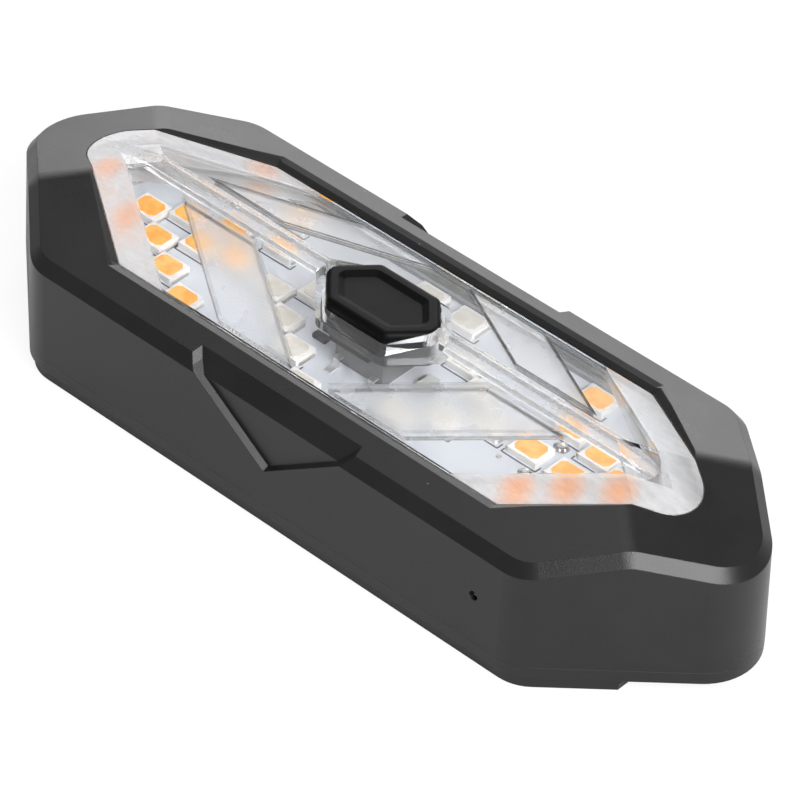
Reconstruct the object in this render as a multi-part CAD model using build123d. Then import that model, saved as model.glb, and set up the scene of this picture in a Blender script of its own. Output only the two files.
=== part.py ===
from build123d import *
from math import cos, radians, sin, tan
import os

os.makedirs("parts", exist_ok=True)

# The light lies on its back: X runs along it, Z comes out of the lens, and the origin is under its middle.
# Every length is in millimetres and every angle in degrees.

# Plan of the casing at its lower edge: a long hexagon with rounded corners and tips
casing_half_width = 16.0
casing_corner_x = 31.4
casing_end_angle = 42.2
casing_corner_round = 5.0
casing_tip_round = 6.0
casing_wall = 1.8
casing_draft = 1.5
least_round = 0.4

# Back cover: a pad that the light lies on, and a band that carries the walls of the casing
pad_end_inset = 10.7
pad_inset = 0.45
pad_end_round = 0.7
pad_height = 1.1
band_height = 1.7
band_chamfer = 0.4
lip_height = 1.5
lip_thickness = 1.0
lip_gap = 0.15

# Seal between the casing and its cover
cover_seal_inset = 0.5
cover_seal_width = 0.8
cover_seal_depth = 0.5

# Battery pouch on a foam pad between two ribs, its guard board and its two leads
foam_thickness = 0.4
foam_margin = 2.0
battery_length = 36.0
battery_width = 18.0
battery_thickness = 4.5
battery_x = 4.0
battery_corner = 1.2
battery_seam = 0.4
guard_thickness = 0.8
guard_width = 14.0
guard_height = 3.4
lead_radius = 0.45
lead_sides = 8
lead_spacing = 3.2
lead_bend = 1.2
lead_stand_off = 1.7
rib_length = 20.0
rib_height = 2.5
rib_thickness = 0.8
rib_gap = 0.3

# Circuit board, over a room for the parts under it
board_room = 1.8
board_thickness = 1.2
board_grow = 1.6

# Lens: a steep hip roof with a thick rim, on a flange that stands on the board
bezel_width = 5.28
bezel_corner_inset = 7.2
bezel_angle = 30.5
lens_end_angle = 32.1
lens_corner_round = 0.6
lens_tip_round = 3.6
lens_side_angle = 20.8
lens_gap = 0.12
lens_rim_width = 1.8
lens_roof_thickness = 1.5
lens_flange_grow = 1.2
lens_flange_thickness = 0.7
lens_flange_gap = 0.3
lens_foot_height = 2.2
lens_foot_inset = 0.3
lens_seal_thickness = 0.3
seat_thickness = 0.78
seat_margin = 1.5

# Hip roof of the casing, under the same ridge as the lens
roof_ridge_inset = 2.7
roof_side_angle = 16.7
roof_end_angle = 15.1
roof_thickness = 2.0
hip_round = 4.5
rim_chamfer = 1.0
crest_cut = 0.15

# Notch in the middle of each long side
notch_rim_drop = 0.65
notch_height = 6.7
notch_half_width = 9.9
notch_top_widening = 3.0
notch_top_rise = 2.4
notch_depth = 0.67
notch_chamfer = 1.45
notch_border_angle = 20.0

# Ribs and light-scattering pads under the lens
spine_half_width = 0.8
spine_depth = 0.9
scatter_depth = 0.6
scatter_inner_y = 2.65
scatter_rim_gap = 0.32
scatter_inner_x = 14.8
scatter_outer_x = 3.6
scatter_inner_length = 9.0
scatter_outer_length = 8.4

# Lamps: white packages with a clear window
lamp_length = 3.5
lamp_width = 2.8
lamp_height = 0.7
lamp_window_inset = 0.3
lamp_window_corner = 0.4
lamp_window_rise = 0.08
lamp_gap = 0.26
pale_lamp_x = 14.1
left_group_gap = 8.9
right_group_gap = 9.15

# Places of the lamps: along X in steps of one lamp, and across as shares of the lens's half width
left_lamp_shares = [
    (-2.21, 0.037), (-1.225, 0.224), (-1.225, -0.224), (-0.05, 0.373), (-0.16, -0.019),
    (-0.16, -0.457), (1.01, -0.68), (0.91, 0.056), (1.44, 0.495), (0.88, 0.858),
]
right_lamp_shares = [
    (-1.17, 0.858), (-0.85, 0.466), (-1.12, 0), (0.3, 0.354), (0.13, -0.019), (1.26, 0.205), (-0.11, -0.43),
]
pale_row_share = 0.239
pale_end_shares = [(-0.72, -0.79), (-0.69, 0.858), (0.69, 0.858)]

# Tactile switch under the button
switch_side = 6.0
switch_body_height = 3.1
switch_plate_thickness = 0.3
switch_plate_inset = 0.35
switch_plunger_radius = 1.75
switch_plunger_gap = 0.06
switch_plunger_depth = 0.7
switch_plunger_rise = 2.8
switch_leg_pitch = 4.5
switch_leg_width = 0.7
switch_leg_thickness = 0.2
switch_leg_shoulder = 0.8
switch_leg_reach = 2.0
switch_leg_height = 1.0

# Push button: a hexagonal cap over the switch, in a collar of the lens
button_switch_gap = 0.3
button_corner_gap = 0.7
button_wall = 0.6
button_end_angle = 46.9
button_corner_round = 0.9
button_tip_round = 1.3
button_stem_radius = 1.6
button_stem_sides = 6
button_stem_length = 0.45
button_crown = 1.0
button_edge_round = 0.6
button_dish_inset = 1.75
button_dish_depth = 0.35
button_dish_angle = 62.0
button_tab_length = 5.0
button_tab_reach = 0.6
button_tab_thickness = 0.6
button_tab_play = 0.3
button_travel = 0.3
collar_gap = 0.1
collar_wall = 0.8
collar_stand = 4.5

# Charging socket under the board, behind an opening in the far wall
socket_corner_gap = 11.4
socket_width = 7.5
socket_height = 2.6
socket_depth = 5.6
socket_wall_gap = 0.83
socket_shell = 0.3
socket_round = 1.1
socket_tongue_width = 5.0
socket_tongue_thickness = 0.7
socket_tongue_recess = 0.7
port_margin = 0.8
port_round = 1.0

# Rubber cover of the charging port: a flap that bends at its neck, and an anchor held in the wall
flap_length = 12.0
flap_height = 6.4
flap_thickness = 0.8
flap_gap = 0.3
flap_round = 1.2
plug_gap = 0.3
plug_depth = 0.8
anchor_length = 2.6
anchor_stem_length = 1.6
anchor_stem_height = 3.0
anchor_head_margin = 0.4
anchor_head_thickness = 0.6
anchor_fit = 0.02

# Charge indicator: a clear pipe from a lamp under the board to a small hole in the near wall
pipe_corner_gap = 5.1
pipe_drop = 1.3
pipe_radius = 0.45
pipe_gap = 0.05
pipe_recess = 0.25
pipe_block = 1.6
pipe_lamp_gap = 0.15
indicator_length = 1.6
indicator_width = 0.8
indicator_height = 0.55
indicator_edge_gap = 2.92

# Screws of the back cover in bosses of the casing, and the posts that hold the board against the lens
screw_corner_gap = 0.4
screw_wall_gap = 4.4
screw_radius = 1.0
screw_length = 8.0
screw_head_radius = 1.9
screw_head_height = 1.1
screw_recess = 0.2
screw_clearance = 0.15
screw_fit = 0.03
screw_cross_length = 2.2
screw_cross_width = 0.45
screw_cross_depth = 0.6
boss_side = 3.6
boss_gap = 0.3
post_gap = 3.0
post_side = 2.4
post_edge_gap = 5.82

# Chips and small parts on the board
controller_length = 6.0
controller_width = 4.6
controller_height = 1.2
controller_x = 9.0
controller_y = -4.5
controller_leg_count = 4
charger_length = 3.2
charger_width = 1.8
charger_height = 1.1
charger_x = -29.5
charger_y = 0.0
charger_leg_count = 3
chip_bevel = 0.2
chip_leg_width = 0.4
chip_leg_thickness = 0.15
chip_leg_reach = 0.9
chip_leg_pitch = 1.27
resistor_length = 1.6
resistor_width = 0.8
resistor_height = 0.5
resistor_x = 6.0
resistor_y = 1.8
resistor_pitch = 3.0
resistor_far_count = 4
resistor_near_count = 3
capacitor_length = 1.4
capacitor_width = 2.0
capacitor_height = 0.9
capacitor_x = 6.1
solder_radius = 0.4
solder_height = 0.3
solder_sides = 8
solder_bevel = 0.15
solder_shares = [(-0.62, 0.235), (-0.62, -0.235)]

# One length by which cutting shapes pass the surfaces that they cut
overrun = 1.0

# Heights, stacked from the plane that the light lies on
band_top_z = pad_height + band_height
battery_bottom_z = band_top_z + foam_thickness
battery_top_z = battery_bottom_z + battery_thickness
board_bottom_z = battery_top_z + board_room
board_top_z = board_bottom_z + board_thickness
rim_bottom_z = board_top_z + lens_foot_height
flange_top_z = rim_bottom_z + lens_flange_thickness
seat_z = flange_top_z + lens_seal_thickness
lens_edge_z = seat_z + seat_thickness
lens_half_width = casing_half_width - bezel_width
roof_ridge_z = lens_edge_z + lens_half_width * tan(radians(lens_side_angle))
roof_top_z = roof_ridge_z + overrun
roof_fall = tan(radians(roof_side_angle))
bezel_rise = tan(radians(bezel_angle))
crest_reach = (roof_ridge_z - lens_half_width * roof_fall - lens_edge_z) / (bezel_rise + roof_fall)
crest_angle = (bezel_angle - roof_side_angle) / 2
crest_rise = crest_reach * (bezel_rise - tan(radians(crest_angle))) - crest_cut
notch_shoulder_z = roof_ridge_z - casing_half_width * roof_fall - notch_rim_drop
lamp_top_z = board_top_z + lamp_height
lamp_window_z = lamp_top_z + lamp_window_rise
switch_top_z = board_top_z + switch_body_height + switch_plate_thickness
plunger_top_z = switch_top_z + switch_plunger_rise
plunger_bottom_z = switch_top_z - switch_plunger_depth
crown_z = plunger_top_z + button_stem_length
button_top_z = crown_z + button_crown
collar_bottom_z = board_top_z + collar_stand
button_tab_z = collar_bottom_z - button_tab_play - button_tab_thickness
socket_z = board_bottom_z - socket_height / 2
pipe_z = board_bottom_z - pipe_drop
battery_middle_z = (battery_bottom_z + battery_top_z) / 2
screw_seat_z = screw_recess + screw_head_height

# Places in plan
casing_tip_x = casing_corner_x + casing_half_width / tan(radians(casing_end_angle))
plan_reach = casing_tip_x + overrun
pad_reach = casing_tip_x - pad_end_inset
roof_ridge_reach = casing_corner_x - roof_ridge_inset
lens_corner_x = casing_corner_x - bezel_corner_inset
board_side_y = lens_half_width + board_grow
wall_lean = tan(radians(casing_draft))
port_wall_y = casing_half_width - (socket_z - band_top_z) * wall_lean
port_floor_y = port_wall_y - flap_thickness - flap_gap
inner_wall_y = port_wall_y - casing_wall
socket_x = -casing_corner_x + socket_corner_gap
socket_front_y = inner_wall_y - socket_wall_gap
hinge_x = socket_x - flap_length / 2
pipe_x = casing_corner_x - pipe_corner_gap
indicator_y = -board_side_y + indicator_edge_gap
battery_end_x = battery_x + battery_length / 2
guard_end_x = battery_end_x + guard_thickness
lead_x = guard_end_x + lead_stand_off
post_x = guard_end_x + post_gap + post_side / 2
post_y = board_side_y - post_edge_gap
screw_x = casing_corner_x - screw_corner_gap
screw_y = casing_half_width - screw_wall_gap
button_half_width = switch_side / 2 + button_switch_gap + button_wall
button_corner_x = switch_side / 2 + button_corner_gap
lamp_pitch = lamp_length + lamp_gap
left_lamp_x = pale_lamp_x + left_group_gap
right_lamp_x = pale_lamp_x + right_group_gap
upright = (Align.CENTER, Align.CENTER, Align.MIN)
low_corner = (Align.CENTER, Align.MIN, Align.MIN)
top_corner = (Align.CENTER, Align.MIN, Align.MAX)


def hexagon(half_width, corner_x, end_angle, corner_round, tip_round, inset):
    """Long hexagon about the origin, drawn in by inset, with its corners and tips rounded."""
    width = half_width - inset
    corner = corner_x - inset * tan(radians(end_angle / 2))
    tip = corner + width / tan(radians(end_angle))
    points = [(-corner, -width), (corner, -width), (tip, 0), (corner, width), (-corner, width), (-tip, 0)]
    face = make_face(Polyline(*points, close=True))
    tips = face.vertices().sort_by(Axis.X)
    face = fillet([tips[0], tips[-1]], max(tip_round - inset, least_round))
    corners = [v for v in face.vertices() if abs(v.Y) > width * cos(radians(end_angle))]
    corners = [v for v in corners if abs(abs(v.X) - corner) < least_round]
    return fillet(corners, max(corner_round - inset, least_round))


def casing_face(inset=0):
    return hexagon(
        casing_half_width, casing_corner_x, casing_end_angle, casing_corner_round, casing_tip_round, inset
    )


def lens_face(inset=0):
    return hexagon(lens_half_width, lens_corner_x, lens_end_angle, lens_corner_round, lens_tip_round, inset)


def button_face(inset=0):
    return hexagon(
        button_half_width, button_corner_x, button_end_angle, button_corner_round, button_tip_round, inset
    )


def column(face, bottom, top, taper=0):
    """A plan raised from one height to another."""
    return extrude(Pos(0, 0, bottom) * face, top - bottom, taper=taper)


def under_roof(ridge_z, side_angle, drop=0):
    """All that lies under the four slopes of a hip roof, lowered by drop."""
    top = ridge_z - drop
    side_reach = casing_half_width + overrun
    side_z = top - side_reach * tan(radians(side_angle))
    end_z = top - (plan_reach - roof_ridge_reach) * tan(radians(roof_end_angle))
    across = [(-side_reach, 0), (side_reach, 0), (side_reach, side_z), (0, top), (-side_reach, side_z)]
    along = [(-plan_reach, 0), (plan_reach, 0), (plan_reach, end_z), (roof_ridge_reach, top)]
    along += [(-roof_ridge_reach, top), (-plan_reach, end_z)]
    gable = extrude(Plane.YZ * make_face(Polyline(*across, close=True)), plan_reach, both=True)
    hips = extrude(Plane.XZ * make_face(Polyline(*along, close=True)), side_reach, both=True)
    return gable & hips


def casing_block(inset, chamfer_size):
    """The outside of the casing as a solid, with its hips rounded and its rim chamfered along the roof."""
    block = column(casing_face(inset), band_top_z, roof_top_z, casing_draft)
    block &= under_roof(roof_ridge_z, roof_side_angle)
    near_ridge_z = roof_ridge_z - least_round
    spans = [(edge, edge.bounding_box()) for edge in block.edges()]
    block = fillet([edge for edge, box in spans if box.max.Z > near_ridge_z > box.min.Z], hip_round)
    walls = [f for f in block.faces() if abs(f.normal_at().Z) < sin(radians(45))]
    slopes = [f for f in block.faces() if f.normal_at().Z > sin(radians(45))]
    wall_edges = {edge for face in walls for edge in face.edges()}
    rim = [edge for face in slopes for edge in face.edges() if edge in wall_edges]
    return chamfer(rim, chamfer_size)


def notch_region():
    """The wedge of space that each side notch is cut in, narrowing as it goes into the wall."""
    top_x = notch_half_width + notch_top_widening
    half = [(top_x, roof_top_z), (top_x, notch_shoulder_z + notch_top_rise)]
    half += [(notch_half_width, notch_shoulder_z)]
    outline = half + [(0, notch_shoulder_z - notch_height)] + [(-x, z) for x, z in reversed(half)]
    face = Plane.XZ.offset(casing_half_width) * make_face(Polyline(*outline, close=True))
    wedge = extrude(face, -bezel_width, taper=notch_border_angle)
    return wedge + mirror(wedge, Plane.XZ)


def bezel_bowl(foot_z, slope_angle):
    """The space over a border that slopes up to the casing's roof from a foot at the lens's edge."""
    angle = radians(lens_end_angle)
    along = tan(radians(lens_side_angle)) * sin(angle)
    out = tan(radians(slope_angle))
    slopes = [(0, out), (along * cos(angle) + out * sin(angle), out * cos(angle) - along * sin(angle))]
    bowl = Box(2 * plan_reach, 2 * plan_reach, 2 * plan_reach)
    for slope_x, slope_y in slopes:
        for side_x in (-1, 1):
            for side_y in (-1, 1):
                corner = (side_x * lens_corner_x, side_y * lens_half_width, foot_z)
                slope = Plane(corner, z_dir=(-side_x * slope_x, -side_y * slope_y, 1))
                bowl = split(bowl, slope, keep=Keep.TOP)
    return bowl


def at_corners(shape, x, y):
    """Four copies of a shape, one in each quarter of the plan."""
    return [Pos(sign_x * x, sign_y * y, 0) * shape for sign_x in (-1, 1) for sign_y in (-1, 1)]


def place_all(shape, places):
    return [Pos(x, y, 0) * shape for x, y in places]


def rod(radius, bottom, top):
    """Upright cylinder from one height to another."""
    return Pos(0, 0, bottom) * Cylinder(radius, top - bottom, align=upright)


def block(length, width, bottom, top):
    """Upright box from one height to another, with its middle on the Z axis."""
    return Pos(0, 0, bottom) * Box(length, width, top - bottom, align=upright)


def wall_slab(face, inner_y, outer_y):
    """A face drawn on the far wall, given a thickness in Y."""
    return extrude(Plane.XZ.offset(-outer_y) * face, outer_y - inner_y)


def port_outline(margin):
    """Outline of the socket on the far wall, grown by a margin."""
    outline = RectangleRounded(socket_width + 2 * margin, socket_height + 2 * margin, port_round)
    return Pos(socket_x, socket_z) * outline


def cover_recess():
    """The recess of the far wall that holds the rubber cover, and the two openings in its floor."""
    length = flap_length + anchor_length + 2 * flap_gap
    middle = hinge_x + flap_length - length / 2 + flap_gap
    plate = RectangleRounded(length, flap_height + 2 * flap_gap, flap_round + flap_gap)
    plate = Pos(middle, socket_z) * plate
    recess = wall_slab(plate, port_floor_y, casing_half_width + overrun)
    recess += wall_slab(port_outline(port_margin), inner_wall_y - overrun, casing_half_width)
    stem = Rectangle(anchor_stem_length + 2 * anchor_fit, anchor_stem_height + 2 * anchor_fit)
    stem = Pos(hinge_x - anchor_length / 2, socket_z) * stem
    return recess + wall_slab(stem, inner_wall_y - overrun, casing_half_width)


def make_casing():
    shell = casing_block(0, rim_chamfer)
    shell -= notch_region() - casing_block(notch_depth, notch_chamfer)
    cavity = column(casing_face(casing_wall), band_top_z - overrun, roof_top_z, casing_draft)
    cavity &= under_roof(roof_ridge_z, roof_side_angle, roof_thickness)
    cavity -= column(lens_face(-lens_flange_grow - seat_margin), seat_z, roof_top_z)
    cavity += column(lens_face(-lens_flange_grow - lens_flange_gap), board_bottom_z, seat_z)
    shell -= cavity
    shell -= column(lens_face(-lens_gap), board_bottom_z, roof_top_z)
    shell -= bezel_bowl(lens_edge_z, bezel_angle)
    shell -= bezel_bowl(lens_edge_z + crest_rise, crest_angle)
    boss = block(boss_side, boss_side, band_top_z, roof_top_z)
    room = under_roof(roof_ridge_z, roof_side_angle, roof_thickness / 2)
    room &= column(casing_face(casing_wall / 2), band_top_z, roof_top_z, casing_draft)
    shell += [one & room for one in at_corners(boss, screw_x, screw_y)]
    thread_top_z = screw_seat_z + screw_length + screw_clearance
    shell -= at_corners(rod(screw_radius + screw_fit, band_top_z, thread_top_z), screw_x, screw_y)
    shell -= cover_recess()
    hole = Pos(pipe_x, pipe_z) * Circle(pipe_radius + pipe_gap)
    return shell - extrude(Plane.XZ.offset(inner_wall_y - overrun) * hole, casing_wall + 2 * overrun)


def ring(inset, width, bottom, top, taper=0):
    """A band that follows the plan of the casing."""
    outer = column(casing_face(inset), bottom, top, taper)
    return outer - column(casing_face(inset + width), bottom, top, taper)


def pad_profile():
    """The pad seen from the side, with a hollow curve at each end that runs out under the band."""
    curve_z = pad_height - pad_end_round
    far_x = pad_reach + pad_end_round
    middle = (far_x - pad_end_round * cos(radians(45)), curve_z + pad_end_round * sin(radians(45)))
    curve = ThreePointArc((pad_reach, curve_z), middle, (far_x, pad_height))
    lower = Polyline((0, pad_height), (0, 0), (pad_reach, 0), (pad_reach, curve_z))
    upper = Line((far_x, pad_height), (0, pad_height))
    half = extrude(Plane.XZ * make_face(lower + curve + upper), casing_half_width, both=True)
    return half + mirror(half, Plane.YZ)


def make_back_cover():
    band = column(casing_face(), pad_height, band_top_z)
    band = chamfer(band.faces().sort_by(Axis.Z)[0].edges(), band_chamfer)
    cover = band + (column(casing_face(pad_inset), 0, pad_height) & pad_profile())
    cover -= ring(cover_seal_inset, cover_seal_width, band_top_z - cover_seal_depth, band_top_z)
    lip_reach = screw_x - boss_side / 2 - boss_gap
    lip = ring(casing_wall + lip_gap, lip_thickness, band_top_z, band_top_z + lip_height, casing_draft)
    cover += lip & block(2 * lip_reach, 2 * casing_half_width, band_top_z, roof_top_z)
    cover += at_corners(block(post_side, post_side, band_top_z, board_bottom_z), post_x, post_y)
    rib_y = battery_width / 2 + rib_gap + rib_thickness / 2
    rib = block(rib_length, rib_thickness, band_top_z, band_top_z + rib_height)
    cover += [Pos(battery_x, side * rib_y, 0) * rib for side in (-1, 1)]
    cover -= at_corners(rod(screw_head_radius + screw_clearance, 0, screw_seat_z), screw_x, screw_y)
    return cover - at_corners(rod(screw_radius + screw_clearance, 0, band_top_z), screw_x, screw_y)


def make_cover_screws():
    screw = rod(screw_head_radius, screw_recess, screw_seat_z)
    screw += rod(screw_radius, screw_seat_z, screw_seat_z + screw_length)
    slot = block(screw_cross_length, screw_cross_width, screw_recess, screw_recess + screw_cross_depth)
    screw -= slot + Rot(0, 0, 90) * slot
    return at_corners(screw, screw_x, screw_y)


def lens_roof(drop=0):
    return under_roof(roof_ridge_z, lens_side_angle, drop)


def under_lens(depth):
    """The layer of space just under the lens's roof, inside its rim."""
    layer = lens_roof(lens_roof_thickness) - lens_roof(lens_roof_thickness + depth)
    return layer & column(lens_face(lens_rim_width), rim_bottom_z, roof_top_z)


def scatter_pads():
    outer_y = lens_half_width - scatter_rim_gap
    points = [(scatter_inner_x, scatter_inner_y), (scatter_inner_x + scatter_inner_length, scatter_inner_y)]
    points += [(scatter_outer_x + scatter_outer_length, outer_y), (scatter_outer_x, outer_y)]
    pad = column(make_face(Polyline(*points, close=True)), rim_bottom_z, roof_top_z)
    pad &= under_lens(scatter_depth)
    pads = [pad, mirror(pad, Plane.XZ)]
    return pads + [mirror(one, Plane.YZ) for one in pads]


def make_lens():
    lens = column(lens_face(), rim_bottom_z, roof_top_z) & lens_roof()
    lens += column(lens_face(-lens_flange_grow), rim_bottom_z, flange_top_z)
    hollow = column(lens_face(lens_rim_width), rim_bottom_z - overrun, roof_top_z)
    lens -= hollow & lens_roof(lens_roof_thickness)
    foot = column(lens_face(-lens_flange_grow), board_top_z, rim_bottom_z)
    lens += foot - column(lens_face(-lens_foot_inset), board_top_z, rim_bottom_z)
    spine = block(2 * plan_reach, 2 * spine_half_width, rim_bottom_z, roof_top_z)
    lens += spine & under_lens(spine_depth)
    lens += scatter_pads()
    lens += column(button_face(-collar_gap - collar_wall), collar_bottom_z, roof_top_z) & lens_roof()
    return lens - column(button_face(-collar_gap), rim_bottom_z, roof_top_z)


def make_lens_seal():
    seal = column(lens_face(-lens_flange_grow), flange_top_z, seat_z)
    return seal - column(lens_face(-lens_gap), flange_top_z, seat_z)


def make_push_button():
    """A hollow cap with a dished top, a tab on each side under the collar, and a stem over the switch."""
    button = column(button_face(), button_tab_z, button_top_z)
    button = fillet(button.faces().sort_by(Axis.Z)[-1].edges(), button_edge_round)
    tabs_width = 2 * (button_half_width + button_tab_reach)
    button += block(button_tab_length, tabs_width, button_tab_z, button_tab_z + button_tab_thickness)
    button -= column(button_face(button_wall), button_tab_z, crown_z)
    dish_z = button_top_z - button_dish_depth
    button -= column(button_face(button_dish_inset), dish_z, roof_top_z, -button_dish_angle)
    return button + column(RegularPolygon(button_stem_radius, button_stem_sides), plunger_top_z, crown_z)


def make_circuit_board():
    return column(lens_face(-board_grow), board_bottom_z, board_top_z)


def lamp_window():
    outline = Rectangle(lamp_length - 2 * lamp_window_inset, lamp_width - 2 * lamp_window_inset)
    outline = chamfer(outline.vertices(), lamp_window_corner)
    return column(outline, lamp_top_z, lamp_window_z)


def lamp_body():
    return block(lamp_length, lamp_width, board_top_z, lamp_top_z)


def group_places(middle_x, shares):
    return [(middle_x + x * lamp_pitch, y * lens_half_width) for x, y in shares]


def pale_places():
    """Rows that run off slantwise from both ends of the button, and three lamps beside it."""
    steps = [(0, 0), (1, -1), (2, -2), (1, 1), (2, 2)]
    rise = pale_row_share * lens_half_width
    places = [(-pale_lamp_x + x * lamp_pitch, y * rise) for x, y in steps]
    places += [(-x, -y) for x, y in places]
    return places + group_places(0, pale_end_shares)


def make_switch_body():
    body = block(switch_side, switch_side, board_top_z, board_top_z + switch_body_height)
    bore_radius = switch_plunger_radius + switch_plunger_gap
    return body - rod(bore_radius, plunger_bottom_z - button_travel, plunger_top_z)


def make_switch_plate():
    side = switch_side - 2 * switch_plate_inset
    plate = block(side, side, switch_top_z - switch_plate_thickness, switch_top_z)
    return plate - rod(switch_plunger_radius + switch_plunger_gap, board_top_z, plunger_top_z)


def make_switch_legs():
    side_y = switch_side / 2
    shoulder_z = board_top_z + switch_leg_height
    foot_y = side_y + switch_leg_shoulder - switch_leg_thickness
    shoulder = Pos(0, side_y, shoulder_z - switch_leg_thickness)
    leg = shoulder * Box(switch_leg_width, switch_leg_shoulder, switch_leg_thickness, align=low_corner)
    shank = Pos(0, foot_y, board_top_z)
    leg += shank * Box(switch_leg_width, switch_leg_thickness, switch_leg_height, align=low_corner)
    foot_length = side_y + switch_leg_reach - foot_y
    leg += shank * Box(switch_leg_width, foot_length, switch_leg_thickness, align=low_corner)
    legs = [Pos(side * switch_leg_pitch / 2, 0, 0) * leg for side in (-1, 1)]
    return legs + [mirror(one, Plane.XZ) for one in legs]


def make_battery():
    pouch = block(battery_length, battery_width, battery_bottom_z, battery_top_z)
    pouch = chamfer(pouch.edges().filter_by(Axis.Z), battery_corner)
    rims = pouch.faces().sort_by(Axis.Z)[0].edges() + pouch.faces().sort_by(Axis.Z)[-1].edges()
    return Pos(battery_x, 0, 0) * chamfer(rims, battery_seam)


def make_battery_foam():
    length = battery_length - 2 * foam_margin
    width = battery_width - 2 * foam_margin
    return Pos(battery_x, 0, 0) * block(length, width, band_top_z, battery_bottom_z)


def make_guard_board():
    low_z = battery_middle_z - guard_height / 2
    plate = block(guard_thickness, guard_width, low_z, low_z + guard_height)
    return Pos(battery_end_x + guard_thickness / 2, 0, 0) * plate


def make_lead(side):
    y = side * lead_spacing / 2
    points = [(guard_end_x, y, battery_middle_z), (lead_x, y, battery_middle_z), (lead_x, y, board_bottom_z)]
    path = FilletPolyline(*points, radius=lead_bend)
    outline = Plane(origin=points[0], z_dir=(1, 0, 0)) * RegularPolygon(lead_radius, lead_sides)
    return sweep(outline, path=path)


def socket_outline(inset):
    outline = RectangleRounded(socket_width - 2 * inset, socket_height - 2 * inset, socket_round - inset)
    return Pos(socket_x, socket_z) * outline


def make_socket():
    back_y = socket_front_y - socket_depth
    shell = wall_slab(socket_outline(0), back_y, socket_front_y)
    return shell - wall_slab(socket_outline(socket_shell), back_y + socket_shell, socket_front_y)


def make_socket_tongue():
    outline = Pos(socket_x, socket_z) * Rectangle(socket_tongue_width, socket_tongue_thickness)
    back_y = socket_front_y - socket_depth + socket_shell
    return wall_slab(outline, back_y, socket_front_y - socket_tongue_recess)


def make_port_flap():
    """The flap and its plug, from the neck at hinge_x to its free end."""
    length = flap_length - flap_gap
    outline = RectangleRounded(length, flap_height, flap_round)
    outline = Pos(hinge_x + flap_gap + length / 2, socket_z) * outline
    flap = wall_slab(outline, port_wall_y - flap_thickness, port_wall_y)
    plug_inner_y = port_wall_y - flap_thickness - plug_depth
    return flap + wall_slab(port_outline(port_margin - plug_gap), plug_inner_y, port_wall_y - flap_thickness)


def make_port_anchor():
    middle = Pos(hinge_x - anchor_length / 2, socket_z)
    stem = Rectangle(anchor_stem_length, anchor_stem_height)
    head_height = anchor_stem_height + 2 * anchor_head_margin
    head = Rectangle(anchor_stem_length + 2 * anchor_head_margin, head_height)
    head_y = inner_wall_y - head_height / 2 * wall_lean
    pad = RectangleRounded(anchor_length, flap_height, flap_round)
    anchor = wall_slab(middle * pad, port_floor_y, port_wall_y)
    anchor += wall_slab(middle * stem, head_y - anchor_head_thickness, port_wall_y)
    return anchor + wall_slab(middle * head, head_y - anchor_head_thickness, head_y)


def make_indicator_lamp():
    lamp = block(indicator_length, indicator_width, board_bottom_z - indicator_height, board_bottom_z)
    return Pos(pipe_x, indicator_y, 0) * lamp


def make_indicator_pipe():
    outer_y = casing_half_width - (pipe_z - band_top_z) * wall_lean - pipe_recess
    end_y = indicator_y - pipe_block / 2
    pipe = extrude(Plane.XZ.offset(-end_y) * Pos(pipe_x, pipe_z) * Circle(pipe_radius), outer_y + end_y)
    top_z = board_bottom_z - indicator_height - pipe_lamp_gap
    return pipe + Pos(pipe_x, indicator_y, 0) * block(pipe_block, pipe_block, pipe_z - pipe_block / 2, top_z)


def make_chip(length, width, height):
    """A chip under the board, with its lower rim bevelled."""
    chip = block(length, width, board_bottom_z - height, board_bottom_z)
    return chamfer(chip.faces().sort_by(Axis.Z)[0].edges(), chip_bevel)


def make_chip_legs(width, height, count):
    """Gull-wing legs along both long sides of a chip under the board."""
    half = width / 2
    knee = half + chip_leg_reach / 2
    rise = Pos(0, knee, board_bottom_z)
    rise *= Box(chip_leg_width, chip_leg_thickness, height / 2, align=top_corner)
    foot = Pos(0, knee, board_bottom_z)
    foot *= Box(chip_leg_width, chip_leg_reach / 2, chip_leg_thickness, align=top_corner)
    shoulder_length = chip_leg_reach / 2 + chip_leg_thickness
    shoulder = Pos(0, half, board_bottom_z - height / 2 + chip_leg_thickness)
    shoulder *= Box(chip_leg_width, shoulder_length, chip_leg_thickness, align=top_corner)
    leg = rise + foot + shoulder
    first = -(count - 1) * chip_leg_pitch / 2
    legs = [Pos(first + step * chip_leg_pitch, 0, 0) * leg for step in range(count)]
    return legs + [mirror(one, Plane.XZ) for one in legs]


def make_resistors():
    top = block(resistor_length, resistor_width, board_top_z, board_top_z + resistor_height)
    under = block(resistor_length, resistor_width, board_bottom_z - resistor_height, board_bottom_z)
    far = [(resistor_x + step * resistor_pitch, resistor_y) for step in range(resistor_far_count)]
    near = [(-resistor_x - step * resistor_pitch, -resistor_y) for step in range(resistor_near_count)]
    return [Pos(-resistor_x, -resistor_y, 0) * top] + place_all(under, far + near)


def make_capacitor():
    return Pos(capacitor_x, 0, 0) * block(
        capacitor_length, capacitor_width, board_top_z, board_top_z + capacitor_height
    )


def make_solder_joint():
    joint = column(RegularPolygon(solder_radius, solder_sides), board_top_z, board_top_z + solder_height)
    return chamfer(joint.faces().sort_by(Axis.Z)[-1].edges(), solder_bevel)


def save(name, shape):
    """Write one node; a list is a group of separate solids."""
    if isinstance(shape, list):
        shape = Compound(children=shape)
    export_step(shape, f"parts/{name}.step")


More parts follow.
